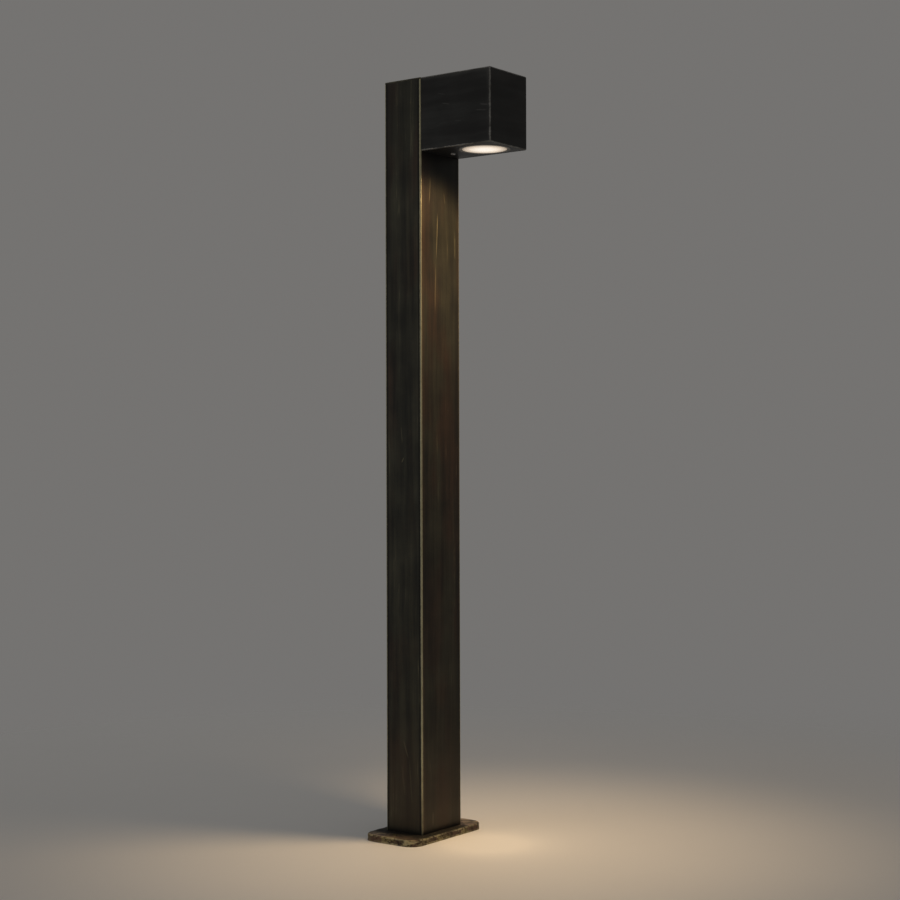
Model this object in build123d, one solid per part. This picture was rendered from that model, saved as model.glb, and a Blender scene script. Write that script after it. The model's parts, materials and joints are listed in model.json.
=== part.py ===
"""A garden bollard light: a rectangular post on a cast foot, with a box-shaped lamp head.

Millimetres. The origin is the centre of the foot's underside. +Z is up and +X is the way
the head reaches out from the post. Every sub-part is written to parts/NODE.step.
"""

from build123d import *
import math
import os

# ---------------------------------------------------------------- driving dimensions
total_height = 1000.0

# cast foot
plate_depth = 87.0
plate_width = 155.0
plate_thick = 9.0
plate_corner = 18.0
plate_edge = 2.0
anchor_spacing = 120.0
anchor_hole_r = 4.5

# extruded post
post_depth = 60.0
post_width = 85.0
post_wall = 2.0
post_edge = 1.8
channel_r = 1.8
channel_wall = 2.2
cap_edge = 2.4
cap_round = 1.0
cap_skirt = 8.0
cap_skirt_wall = 1.6

# lamp head: its width and height follow from the lamp and the trim ring
head_reach = 111.0
head_wall = 2.5
head_floor = 3.0
head_edge = 2.0
gasket_strip = 1.0
wiring_space = 20.2
ring_side_margin = 7.5
ring_front_margin = 4.5
head_screw_shift = 2.2     # forward of the middle of the space behind the collar

# lamp with a two-pin twist base
lamp_r = 25.0
lamp_length = 46.5
lamp_rim = 2.0
lamp_neck_r = 12.0
lamp_neck = 15.0
lamp_shell = 1.0
lamp_gap = 3.8
pin_spacing = 10.0
pin_shank_r = 1.5
pin_head_r = 2.5
pin_head = 2.2
pin_length = 7.4
twist_angle = 15.0

# lampholder
holder_r = 13.0
holder_height = 18.0
holder_face = 3.4
holder_screw_spacing = 17.0
holder_screw_r = 1.3
contact_size = 2.8
wire_depth_in_holder = 5.0

# threaded trim ring, glass and seal, from the lamp outwards
lamp_clear = 2.0
seat_width = 3.2
seat_groove = 0.5
barrel_wall = 1.2
thread_height = 0.5
thread_pitch = 1.5
thread_length = 8.0
ring_lip = 1.2
ring_shoulder = 1.6
ring_flange = 1.6
ring_proud = 0.4
glass_rim = 2.4
glass_crown = 0.5
seal_thick = 1.5
web_thick = 2.0
collar_wall = 4.0

# folded brackets
sheet = 1.5
bracket_width = 44.0
hook_width = 9.0
hook_rise = 7.0
hook_space = 3.0
rib_thick = 2.4
nut_r = 4.2
nut_height = 4.5
arm_width = 24.0
arm_corner = 4.0

# wiring
wire_r = 1.1
wire_gap = 6.0
wire_lift = 6.7
wire_hole_r = 7.0
grommet_lip_r = 9.0
grommet_lip = 1.5
supply_r = 4.2
foot_grommet_r = 8.8
foot_grommet_lip_r = 11.0
foot_grommet_lip = 2.0

# terminals on a bracket that stands in the post
leg_tab = 13.0
leg_width = 34.0
leg_height = 126.0
pole_pitch = 9.0
terminal_z = 80.0
terminal_height = 18.0
terminal_depth = 16.0
terminal_width = 32.0
insert_r = 2.45
insert_bore = 1.4
clamp_z = 42.0
clamp_height = 10.0
clamp_width = 25.0
clamp_bar = 3.4
clamp_arch = 2.0
clamp_split = -1.0
lug_thick = 0.8
lug_r = 3.6
lug_barrel_r = 1.9
lug_barrel = 5.0

# screws: shank radius, then head radius and height
plate_screw_r = 1.75
plate_screw_head_r = 4.0
channel_bite = 14.0
foot_screw_r = 1.5
foot_screw_length = 7.0
foot_screw_spacing = 22.0
bracket_screw_r = 1.7
bracket_screw_head_r = 3.4
bracket_screw_head = 2.2
head_screw_r = 2.0
head_screw_head_r = 3.5
head_screw_head = 2.0
clamp_screw_r = 1.4
clamp_screw_spacing = 18.0
terminal_screw_r = 1.4
block_screw_r = 1.2
block_screw_head_r = 1.6
small_head = 1.8

# clearances
running = 0.05
side_gap = 0.3
seat_gap = 0.1
screw_gap = 0.1
over = 1.0          # how far a cutting tool runs past a face

# ---------------------------------------------------------------- levels and places
post_front = post_depth / 2
post_top = total_height - cap_edge
channel_x = post_front - post_wall - channel_r - channel_wall / 2
channel_y = post_width / 2 - post_wall - channel_r - channel_wall / 2

# radii of the ring and its seat
seat_inner_r = lamp_r + lamp_clear
seat_outer_r = seat_inner_r + seat_width
barrel_inner_r = seat_outer_r + seat_groove
thread_root_r = barrel_inner_r + barrel_wall
thread_r = thread_root_r + thread_height
ring_r = thread_r + ring_shoulder
ring_inner_r = barrel_inner_r - ring_lip
collar_r = thread_r + running + collar_wall

# the head's floor up to its top: ring, glass, lamp, holder, arm, wires
stack = ring_flange - ring_proud + seat_gap + glass_rim + lamp_gap + lamp_length
head_height = stack + side_gap + holder_height + sheet + wiring_space + head_wall
head_width = 2 * (ring_r + ring_side_margin)
head_low = total_height - head_height
head_front = post_front + head_reach
floor_top = head_low + head_floor
lens_x = head_front - ring_r - ring_front_margin
ring_low = head_low - ring_proud
flange_top = ring_low + ring_flange
barrel_top = flange_top + thread_length
glass_low = ring_low + 0.2
rim_low = flange_top + seat_gap
rim_top = rim_low + glass_rim
seal_top = rim_top + seal_thick
web_low = barrel_top + seat_groove
web_top = web_low + web_thick
lamp_low = rim_top + lamp_gap
lamp_top = lamp_low + lamp_length
lamp_shoulder = lamp_top - lamp_neck
holder_low = lamp_top + side_gap
holder_top = holder_low + holder_height
arm_top = holder_top + sheet
wire_end = holder_top - wire_depth_in_holder
wire_height = arm_top + wire_lift

# brackets
bracket_top = wire_height
collar_back = lens_x - collar_r
head_screw_x = (post_front + sheet + collar_back) / 2 + head_screw_shift
tab_end = (head_screw_x + nut_r + collar_back) / 2
hook_y = (bracket_width - hook_width) / 2
hook_x = post_front + sheet + hook_space
leg_back = post_wall + 0.5 - post_front
leg_face = leg_back + leg_tab + sheet
foot_screw_x = leg_back + leg_tab / 2
wire_x = leg_face + terminal_depth / 2
terminal_top = terminal_z + terminal_height
wire_foot = terminal_top - terminal_height / 2
earth_screw_z = leg_height - 2 * lug_r
earth_wire_x = leg_face + lug_barrel_r
earth_barrel_low = earth_screw_z - 12.0
earth_wire_top = earth_barrel_low + lug_barrel / 2

# pairs of screws, as (across, up) or (along, across) places
corner_points = [(sx * channel_x, sy * channel_y) for sx in (-1, 1) for sy in (-1, 1)]
foot_screw_points = [(foot_screw_x, side * foot_screw_spacing / 2) for side in (-1, 1)]
bracket_screw_points = [(side * (bracket_width / 2 - 6), head_low + rise)
                        for side in (-1, 1) for rise in (14, 62)]
arm_screw_points = [(0, holder_top - drop) for drop in (22, 12)]
terminal_levels = [terminal_z + 4, terminal_top - 4]
poles = [number * pole_pitch for number in (-1, 0, 1)]


# ---------------------------------------------------------------- shared shapes
def block(x0, x1, y0, y1, z0, z1):
    """A box between two corners."""
    return Pos((x0 + x1) / 2, (y0 + y1) / 2, (z0 + z1) / 2) * Box(x1 - x0, y1 - y0, z1 - z0)


def rod(radius, start, direction, length):
    """A round bar from a point, along a direction."""
    bar = Cylinder(radius, length, align=(Align.CENTER, Align.CENTER, Align.MIN))
    return Plane(origin=start, z_dir=direction) * bar


def hole_up(radius, point, low, high):
    """A cutter for an upright hole at (x, y) between two heights, run past both."""
    return rod(radius, (*point, low - over), (0, 0, 1), high - low + 2 * over)


def hole_out(radius, point, back, front):
    """A cutter for a hole along X at (y, z) between two depths, run past both."""
    return rod(radius, (back - over, *point), (1, 0, 0), front - back + 2 * over)


def turned(points):
    """A solid of revolution about Z from an outline of (radius, height) points."""
    return revolve(Plane.XZ * make_face(Polyline(*points, close=True)), Axis.Z)


def cross_recess(size, depth):
    """The cross slot of a screw head, cut downwards from z = 0."""
    slot = Pos(0, 0, -depth / 2)
    return slot * Box(size, size * 0.22, depth) + slot * Box(size * 0.22, size, depth)


def pan_screw(shank_r, length, head_r, head_height):
    """A pan-head screw: the head sits on z = 0 and the shank goes down."""
    head = Cylinder(head_r, head_height, align=(Align.CENTER, Align.CENTER, Align.MIN))
    head = fillet(head.edges().group_by(Axis.Z)[-1], head_height * 0.45)
    shank = Cylinder(shank_r, length, align=(Align.CENTER, Align.CENTER, Align.MAX))
    shank = chamfer(shank.edges().group_by(Axis.Z)[0], shank_r * 0.4)
    return head + shank - Pos(0, 0, head_height) * cross_recess(head_r * 1.2, head_height * 0.6)


def flat_screw(shank_r, length, head_r):
    """A countersunk screw: the top of its head is z = 0 and the shank goes down."""
    cone = head_r - shank_r
    screw = turned([(0, 0), (head_r, 0), (shank_r, -cone), (shank_r, -length), (0, -length)])
    return screw - cross_recess(head_r * 1.1, cone * 0.7)


def at(origin, direction, piece):
    """A piece made about Z, moved so that its +Z points along a direction."""
    return Plane(origin=origin, z_dir=direction) * piece


def group(pieces):
    """Several like solids kept apart in one node."""
    return Compound(children=[piece for piece in pieces])


# ---------------------------------------------------------------- foot
plate_screw_sink = 0.4
grommet_low = 0.5


def make_base_plate():
    """Cast plate: rounded corners, anchor holes, cable hole and the post's screw holes."""
    outline = RectangleRounded(plate_depth, plate_width, plate_corner)
    plate = extrude(outline, plate_thick)
    plate = fillet(plate.edges().group_by(Axis.Z)[-1], plate_edge)
    for side in (-1, 1):
        plate -= hole_up(anchor_hole_r, (0, side * anchor_spacing / 2), 0, plate_thick)
    plate -= hole_up(foot_grommet_r, (0, 0), 0, plate_thick)
    plate -= hole_up(foot_grommet_lip_r + side_gap, (0, 0), -over, grommet_low + foot_grommet_lip - over)
    sink_r = plate_screw_head_r + plate_screw_sink + screw_gap
    for point in corner_points:
        plate -= Pos(*point) * turned([(0, -over), (sink_r + over, -over), (0, sink_r)])
        plate -= hole_up(plate_screw_r + screw_gap, point, 0, plate_thick)
    for point in foot_screw_points:
        plate -= hole_up(foot_screw_r, point, plate_thick - foot_screw_length + sheet + over, plate_thick)
    return plate


def make_base_screws():
    """Countersunk screws from beneath, into the post's screw channels."""
    screw = flat_screw(plate_screw_r, plate_thick + channel_bite, plate_screw_head_r)
    return group([at((x, y, plate_screw_sink), (0, 0, -1), screw) for x, y in corner_points])


def make_cable_grommet():
    """Rubber bush in the plate, with a lip above and below."""
    low = grommet_low
    neck = low + foot_grommet_lip
    high = plate_thick + foot_grommet_lip
    return turned([
        (supply_r, low), (foot_grommet_lip_r, low), (foot_grommet_lip_r, neck),
        (foot_grommet_r, neck), (foot_grommet_r, plate_thick), (foot_grommet_lip_r, plate_thick),
        (foot_grommet_lip_r - 1, high), (supply_r, high)])


# ---------------------------------------------------------------- post and cap
def make_post():
    """Extruded tube with a screw channel in each inner corner and the wire hole in front."""
    outer = RectangleRounded(post_depth, post_width, post_edge)
    inner = Rectangle(post_depth - 2 * post_wall, post_width - 2 * post_wall)
    section = outer - inner
    for point in corner_points:
        section += Pos(*point) * Circle(channel_r + channel_wall)
    section = section & outer
    for point in corner_points:
        section -= Pos(*point) * Circle(channel_r)
    post = Pos(0, 0, plate_thick) * extrude(section, post_top - plate_thick)
    wall_back = post_front - post_wall
    post -= hole_out(wire_hole_r, (0, wire_height), wall_back, post_front)
    for point in bracket_screw_points + arm_screw_points:
        post -= hole_out(bracket_screw_r, point, wall_back, post_front)
    return post


def make_top_cap():
    """Pressed-in cap: a plate flush with the post's sides and a skirt inside the tube."""
    plate = Pos(0, 0, post_top) * extrude(RectangleRounded(post_depth, post_width, post_edge), cap_edge)
    plate = fillet(plate.edges().group_by(Axis.Z)[-1], cap_round)
    x = post_front - post_wall - side_gap
    y = channel_y - channel_r - channel_wall - side_gap
    y_wall = post_width / 2 - post_wall - running
    x_in = channel_x - channel_r - channel_wall - side_gap
    low = post_top - cap_skirt
    skirts = block(-x_in, x_in, y_wall - cap_skirt_wall, y_wall, low, post_top)
    skirts += block(-x_in, x_in, -y_wall, cap_skirt_wall - y_wall, low, post_top)
    skirts += block(-x, cap_skirt_wall - x, -y, y, low, post_top)
    return plate + skirts


def make_wire_grommet():
    """Rubber bush in the post's front wall, with a lip on each face."""
    bore = wire_gap / 2 + wire_r + side_gap
    low = -post_wall - grommet_lip
    bush = turned([
        (bore, low), (grommet_lip_r, low), (grommet_lip_r, -post_wall), (wire_hole_r, -post_wall),
        (wire_hole_r, 0), (grommet_lip_r, 0), (grommet_lip_r, grommet_lip), (bore, grommet_lip)])
    return at((post_front, 0, wire_height), (1, 0, 0), bush)


# ---------------------------------------------------------------- lamp head
def frame_strip(inset, width):
    """Flat frame with rounded corners, inset from the head's outline, in the post's front plane."""
    wide = head_width - 2 * inset
    tall = head_height - 2 * inset
    outline = RectangleRounded(wide, tall, head_edge - inset)
    strip = outline - Rectangle(wide - 2 * width, tall - 2 * width)
    middle = (post_front, 0, head_low + head_height / 2)
    return Plane(origin=middle, x_dir=(0, 1, 0), z_dir=(1, 0, 0)) * strip


def make_head_gasket():
    """Rubber strip in the groove round the head's open back."""
    inset = (head_wall - gasket_strip) / 2
    return extrude(frame_strip(inset, gasket_strip), gasket_strip, dir=(1, 0, 0))


def make_head_housing():
    """Die-cast box, open at the back, with the collar for the trim ring in its floor."""
    half = head_width / 2
    body = block(post_front, head_front, -half, half, head_low, total_height)
    free = [edge for edge in body.edges() if edge.center().X > post_front + head_edge / 2]
    body = fillet(free, head_edge)
    inside = half - head_wall
    ceiling = total_height - head_wall
    body -= block(post_front - over, head_front - head_wall, -inside, inside, floor_top, ceiling)
    collar = rod(collar_r, (lens_x, 0, head_low + head_floor / 2), (0, 0, 1), web_top - floor_top
                 + head_floor / 2)
    body += collar & block(post_front, head_front - head_wall / 2, -half, half, head_low, ceiling)
    recess_r = ring_r + side_gap
    bore_r = thread_r + running
    recess_top = flange_top + seat_gap
    seat_low = seal_top + seat_gap
    body -= Pos(lens_x, 0, 0) * turned([
        (0, head_low - over), (recess_r, head_low - over), (recess_r, recess_top),
        (bore_r, recess_top), (bore_r, web_low), (seat_outer_r, web_low), (seat_outer_r, seat_low),
        (seat_inner_r, seat_low), (seat_inner_r, web_top + over), (0, web_top + over)])
    body -= make_head_gasket()
    body -= hole_up(head_screw_r + screw_gap, (head_screw_x, 0), head_low, floor_top)
    rib_x = post_front + sheet + side_gap
    for side in (-1, 1):
        y0 = side * hook_y - hook_width / 2
        body += block(rib_x, rib_x + rib_thick, y0, y0 + hook_width, bracket_top + side_gap,
                      ceiling + head_wall / 2)
    return body


def make_head_bracket():
    """Folded plate on the post's front: a tab for the head's screw and two hooks at the top."""
    half = bracket_width / 2
    plate = block(post_front, post_front + sheet, -half, half, floor_top, bracket_top)
    bracket = plate + block(post_front, tab_end, -half / 2, half / 2, floor_top, floor_top + sheet)
    for side in (-1, 1):
        y0 = side * hook_y - hook_width / 2
        y1 = y0 + hook_width
        bracket += block(post_front, hook_x + sheet, y0, y1, bracket_top - sheet, bracket_top)
        bracket += block(hook_x, hook_x + sheet, y0, y1, bracket_top - sheet, bracket_top + hook_rise)
    notch = grommet_lip_r + 1
    bracket -= block(post_front - over, post_front + sheet + over, -notch, notch,
                     wire_height - notch, bracket_top + over)
    bracket += rod(nut_r, (head_screw_x, 0, floor_top + sheet), (0, 0, 1), nut_height)
    bracket -= hole_up(head_screw_r, (head_screw_x, 0), floor_top, floor_top + sheet + nut_height)
    for point in bracket_screw_points + arm_screw_points:
        bracket -= hole_out(bracket_screw_r + screw_gap, point, post_front, post_front + sheet)
    return bracket


def make_head_bracket_screws():
    """Pan-head tapping screws through the bracket, into the post's front wall."""
    length = sheet + post_wall + 2.5
    screw = pan_screw(bracket_screw_r, length, bracket_screw_head_r, bracket_screw_head)
    return group([at((post_front + sheet, *point), (1, 0, 0), screw) for point in bracket_screw_points])


def make_head_fixing_screw():
    """The one screw seen from outside, up through the head's floor."""
    screw = pan_screw(head_screw_r, head_floor + sheet + nut_height, head_screw_head_r, head_screw_head)
    return at((head_screw_x, 0, head_low), (0, 0, -1), screw)


def make_lens_ring():
    """Threaded trim ring: a thin flange, and a barrel with thread ridges outside."""
    outline = [
        (ring_inner_r, ring_low + 0.3), (ring_inner_r + 0.3, ring_low), (ring_r - 0.4, ring_low),
        (ring_r, ring_low + 0.4), (ring_r, flange_top), (thread_root_r, flange_top),
    ]
    turns = int(thread_length / thread_pitch)
    for turn in range(turns):
        z = flange_top + turn * thread_pitch
        outline.append((thread_root_r, z + 0.3 * thread_pitch))
        outline.append((thread_r, z + 0.5 * thread_pitch))
        outline.append((thread_r, z + 0.8 * thread_pitch))
        outline.append((thread_root_r, z + thread_pitch))
    outline += [(thread_root_r, barrel_top), (barrel_inner_r, barrel_top)]
    outline += [(barrel_inner_r, flange_top), (ring_inner_r, flange_top)]
    return Pos(lens_x, 0, 0) * turned(outline)


def make_glass_lens():
    """Pressed glass disc: a shallow crowned boss fills the ring, and a rim rests on it."""
    boss_r = ring_inner_r - side_gap
    rim_r = barrel_inner_r - side_gap
    face = Line((0, rim_top), (rim_r, rim_top)) + Line((rim_r, rim_top), (rim_r, rim_low))
    face += Line((rim_r, rim_low), (boss_r, rim_low)) + Line((boss_r, rim_low), (boss_r, glass_low))
    ball_r = (boss_r ** 2 + glass_crown ** 2) / (2 * glass_crown)
    half_angle = math.asin(boss_r / ball_r) / 2
    middle_z = glass_low - glass_crown + ball_r * (1 - math.cos(half_angle))
    crown = ThreePointArc((boss_r, glass_low), (ball_r * math.sin(half_angle), middle_z),
                          (0, glass_low - glass_crown))
    face += crown + Line((0, glass_low - glass_crown), (0, rim_top))
    return Pos(lens_x, 0, 0) * revolve(Plane.XZ * make_face(face), Axis.Z)


def make_lens_seal():
    """Flat silicone ring on top of the glass."""
    outer = barrel_inner_r - 2 * side_gap
    return Pos(lens_x, 0, 0) * turned([
        (seat_inner_r, rim_top), (outer, rim_top), (outer, seal_top), (seat_inner_r, seal_top)])


# ---------------------------------------------------------------- lamp and holder
def make_lamp_reflector():
    """Bowl from a straight rim, by a smooth curve, to the neck."""
    def outline(offset):
        start = (lamp_r - offset, lamp_low + lamp_rim)
        end = (lamp_neck_r + 1 - offset, lamp_shoulder)
        return TangentArc(start, end, tangent=(0, 1))
    outer = outline(0)
    inner = outline(lamp_shell)
    low_r = lamp_r - lamp_shell
    lines = Line((low_r, lamp_low), (lamp_r, lamp_low)) + Line((lamp_r, lamp_low), outer @ 0)
    lines += outer + Line(outer @ 1, inner @ 1) + inner + Line(inner @ 0, (low_r, lamp_low))
    return Pos(lens_x, 0, 0) * revolve(Plane.XZ * make_face(lines), Axis.Z)


def make_lamp_lens():
    """Front disc of the lamp, held in the bowl's rim."""
    return rod(lamp_r - lamp_shell, (lens_x, 0, lamp_low), (0, 0, 1), lamp_rim)


def make_lamp_base():
    """Moulded neck and end block that carry the two pins."""
    block_r = lamp_neck_r + 1
    return Pos(lens_x, 0, 0) * turned([
        (0, lamp_shoulder), (block_r, lamp_shoulder), (block_r, lamp_shoulder + 2),
        (lamp_neck_r, lamp_shoulder + 3), (lamp_neck_r, lamp_top - 1), (lamp_neck_r - 1, lamp_top),
        (0, lamp_top)])


def make_lamp_pins():
    """Two headed contact pins."""
    pin = turned([
        (0, lamp_top), (pin_shank_r, lamp_top), (pin_shank_r, lamp_top + pin_length - pin_head),
        (pin_head_r, lamp_top + pin_length - pin_head), (pin_head_r, lamp_top + pin_length - 0.4),
        (pin_head_r - 0.4, lamp_top + pin_length), (0, lamp_top + pin_length)])
    return group([Pos(lens_x, s * pin_spacing / 2, 0) * pin for s in (-1, 1)])


def twist_slot(start_angle, width, low, height):
    """Slot that a pin sweeps as the lamp turns, from its locked place to its way out."""
    arc = CenterArc((0, 0), pin_spacing / 2, start_angle - twist_angle, twist_angle)
    return Pos(lens_x, 0, low) * extrude(SlotArc(arc, width), height)


def make_lampholder():
    """Ceramic holder: two keyhole slots below, wire holes above, a contact pocket between."""
    holder = rod(holder_r, (lens_x, 0, holder_low), (0, 0, 1), holder_height)
    holder = chamfer(holder.edges(), 0.6)
    narrow = 2 * (pin_shank_r + side_gap)
    wide = 2 * (pin_head_r + side_gap)
    slot_top = lamp_top + pin_length + side_gap
    for start in (90, 270):
        holder -= twist_slot(start, narrow, holder_low - over, holder_face + over)
        holder -= twist_slot(start, wide, holder_low + holder_face, slot_top - holder_low - holder_face)
        way_out = math.radians(start - twist_angle)
        x = lens_x + math.cos(way_out) * pin_spacing / 2
        y = math.sin(way_out) * pin_spacing / 2
        holder -= hole_up(pin_head_r + side_gap, (x, y), holder_low, holder_low + holder_face - over)
    pocket = contact_size / 2 + screw_gap
    for side in (-1, 1):
        y = side * pin_spacing / 2
        holder -= block(lens_x - pocket, lens_x + pocket, y - pocket, y + pocket,
                        slot_top - screw_gap, wire_end)
        holder -= hole_up(wire_r + screw_gap, (lens_x, y), wire_end + over, holder_top)
        x = lens_x + side * holder_screw_spacing / 2
        holder -= hole_up(holder_screw_r, (x, 0), wire_end, holder_top)
    return holder


def make_lampholder_contacts():
    """Brass contact pieces between the pins' heads and the wires."""
    low = lamp_top + pin_length + side_gap
    half = contact_size / 2
    ys = [side * pin_spacing / 2 for side in (-1, 1)]
    return group([block(lens_x - half, lens_x + half, y - half, y + half, low, wire_end) for y in ys])


def make_lampholder_screws():
    """Two small screws from above, through the bracket's arm."""
    screw = pan_screw(holder_screw_r, sheet + wire_depth_in_holder, 2.4, small_head)
    xs = [lens_x + side * holder_screw_spacing / 2 for side in (-1, 1)]
    return group([at((x, 0, arm_top), (0, 0, 1), screw) for x in xs])


def make_lampholder_bracket():
    """Folded strip: a leg on the head bracket and an arm over the holder."""
    back = post_front + sheet
    half = arm_width / 2
    low = arm_screw_points[0][1] - 2 * bracket_screw_head_r
    arm = block(back, lens_x + holder_r, -half, half, holder_top, arm_top)
    ends = [edge for edge in arm.edges().filter_by(Axis.Z) if edge.center().X > lens_x]
    bracket = fillet(ends, arm_corner) + block(back, back + sheet, -half, half, low, arm_top)
    for point in arm_screw_points:
        bracket -= hole_out(bracket_screw_r + screw_gap, point, back, back + sheet)
    for side in (-1, 1):
        screw_point = (lens_x + side * holder_screw_spacing / 2, 0)
        wire_point = (lens_x, side * pin_spacing / 2)
        bracket -= hole_up(holder_screw_r + screw_gap, screw_point, holder_top, arm_top)
        bracket -= hole_up(wire_r + side_gap, wire_point, holder_top, arm_top)
    return bracket


def make_lampholder_bracket_screws():
    """Two tapping screws through both brackets, into the post's front wall."""
    length = 2 * sheet + post_wall + 2.5
    screw = pan_screw(bracket_screw_r, length, bracket_screw_head_r, bracket_screw_head)
    x = post_front + 2 * sheet
    return group([at((x, *point), (1, 0, 0), screw) for point in arm_screw_points])


# ---------------------------------------------------------------- wiring in the post
clamp_screw_ys = [side * clamp_screw_spacing / 2 for side in (-1, 1)]
block_screw_ys = [side * pole_pitch / 2 for side in (-1, 1)]
terminal_mid = terminal_z + terminal_height / 2
clamp_low = clamp_z - clamp_height / 2
clamp_high = clamp_low + clamp_height
clamp_front = clamp_split + clamp_bar
block_recess = 3.0


def make_terminal_bracket():
    """Folded strip on the foot: it stands in the post and carries the terminals."""
    half = leg_width / 2
    back = leg_face - sheet
    bracket = block(leg_back, leg_face, -half, half, plate_thick, plate_thick + sheet)
    bracket += block(back, leg_face, -half, half, plate_thick, leg_height)
    lip_r = foot_grommet_lip_r + side_gap
    bracket -= hole_up(lip_r, (0, 0), plate_thick, plate_thick + foot_grommet_lip)
    for point in foot_screw_points:
        bracket -= hole_up(foot_screw_r + screw_gap, point, plate_thick, plate_thick + sheet)
    for y in clamp_screw_ys:
        bracket -= hole_out(clamp_screw_r, (y, clamp_z), back, leg_face)
    for y in block_screw_ys:
        bracket -= hole_out(block_screw_r, (y, terminal_mid), back, leg_face)
    bracket -= hole_out(bracket_screw_r, (0, earth_screw_z), back, leg_face)
    return bracket


def make_terminal_bracket_screws():
    """Two pan-head screws into blind holes in the foot."""
    screw = pan_screw(foot_screw_r, foot_screw_length, 2 * foot_screw_r, small_head)
    z = plate_thick + sheet
    return group([at((*point, z), (0, 0, 1), screw) for point in foot_screw_points])


def make_terminal_block():
    """Three-pole block with a brass barrel in each pole."""
    half = terminal_width / 2
    face = leg_face + terminal_depth
    body = block(leg_face, face, -half, half, terminal_z, terminal_top)
    body = chamfer(body.edges().filter_by(Axis.Z), 1)
    for y in poles:
        body -= hole_up(insert_r, (wire_x, y), terminal_z, terminal_top)
        for z in terminal_levels:
            body -= hole_out(terminal_screw_r + side_gap, (y, z), wire_x + over, face)
    for y in block_screw_ys:
        body -= hole_out(block_screw_r + running, (y, terminal_mid), leg_face, face)
        body -= hole_out(block_screw_head_r + screw_gap, (y, terminal_mid), face - block_recess + over, face)
    return body


def make_terminal_block_screws():
    """Two long screws between the poles, into the bracket."""
    length = terminal_depth - block_recess + sheet + 1
    screw = pan_screw(block_screw_r, length, block_screw_head_r, block_screw_r)
    x = leg_face + terminal_depth - block_recess
    return group([at((x, y, terminal_mid), (1, 0, 0), screw) for y in block_screw_ys])


def make_terminal_inserts():
    """Brass barrels, tapped at the side for the clamping screws."""
    barrels = []
    for y in poles:
        barrel = rod(insert_r - running, (wire_x, y, terminal_z + 1), (0, 0, 1), terminal_height - 2)
        barrel -= hole_up(insert_bore, (wire_x, y), terminal_z, terminal_top)
        for z in terminal_levels:
            barrel -= hole_out(terminal_screw_r, (y, z), wire_x + over, wire_x + insert_r)
        barrels.append(barrel)
    return group(barrels)


def make_terminal_screws():
    """Slotted grub screws that press on the wires."""
    start = wire_x + wire_r + running
    length = 5.0
    slot_half = 0.25
    end = start + length
    screws = []
    for y in poles:
        for z in terminal_levels:
            slot = block(end - 0.8, end + over, y - 2, y + 2, z - slot_half, z + slot_half)
            screws.append(rod(terminal_screw_r, (start, y, z), (1, 0, 0), length) - slot)
    return group(screws)


def make_cord_clamp_base():
    """Moulded block behind the supply cable, with a half-round groove."""
    half = clamp_width / 2
    base = block(leg_face, clamp_split, -half, half, clamp_low, clamp_high)
    base -= hole_up(supply_r, (0, 0), clamp_low, clamp_high)
    for y in clamp_screw_ys:
        base -= hole_out(clamp_screw_r + screw_gap, (y, clamp_z), leg_face, clamp_split)
    return base


def make_cord_clamp_saddle():
    """Arched bar over the supply cable."""
    half = clamp_width / 2
    arch_r = supply_r + clamp_arch
    low_x = clamp_split + seat_gap
    arch = rod(arch_r, (0, 0, clamp_low), (0, 0, 1), clamp_height)
    arch = arch & block(low_x, arch_r, -half, half, clamp_low, clamp_high)
    saddle = block(low_x, clamp_front, -half, half, clamp_low, clamp_high) + arch
    saddle -= hole_up(supply_r, (0, 0), clamp_low, clamp_high)
    for y in clamp_screw_ys:
        saddle -= hole_out(clamp_screw_r + screw_gap, (y, clamp_z), low_x, clamp_front)
    return saddle


def make_cord_clamp_screws():
    """Two long screws through the saddle and its base, into the bracket."""
    screw = pan_screw(clamp_screw_r, clamp_front - leg_face + sheet + 1, 2 * clamp_screw_r, small_head)
    return group([at((clamp_front, y, clamp_z), (1, 0, 0), screw) for y in clamp_screw_ys])


def make_earth_lug():
    """Ring terminal with its crimped barrel."""
    lug = rod(lug_r, (leg_face, 0, earth_screw_z), (1, 0, 0), lug_thick)
    neck = lug_barrel_r - side_gap
    lug += block(leg_face, leg_face + lug_thick, -neck, neck, earth_barrel_low + 4, earth_screw_z)
    lug += rod(lug_barrel_r, (earth_wire_x, 0, earth_barrel_low), (0, 0, 1), lug_barrel)
    lug -= hole_out(bracket_screw_r + screw_gap, (0, earth_screw_z), leg_face, leg_face + lug_thick)
    lug -= hole_up(wire_r + running, (earth_wire_x, 0), earth_barrel_low, earth_wire_top - over)
    return lug


def make_earth_screw():
    """Pan-head screw through the lug, into the bracket."""
    length = lug_thick + sheet + 2
    screw = pan_screw(bracket_screw_r, length, bracket_screw_head_r, bracket_screw_head)
    return at((leg_face + lug_thick, 0, earth_screw_z), (1, 0, 0), screw)


def wire_along(points, radii):
    """Round wire whose centre line is straight runs joined by tangent arcs."""
    path = FilletPolyline(*points, radius=radii)
    start = Plane(origin=path @ 0, z_dir=path % 0)
    return sweep(start * Circle(wire_r), path=path)


def make_earth_wire():
    """Short lead from the middle pole up to the lug."""
    bend = 3.5
    return wire_along([
        (wire_x, 0, wire_foot), (wire_x, 0, wire_foot + 12), (earth_wire_x, 0, earth_wire_top - 5),
        (earth_wire_x, 0, earth_wire_top)], [bend, bend])


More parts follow.
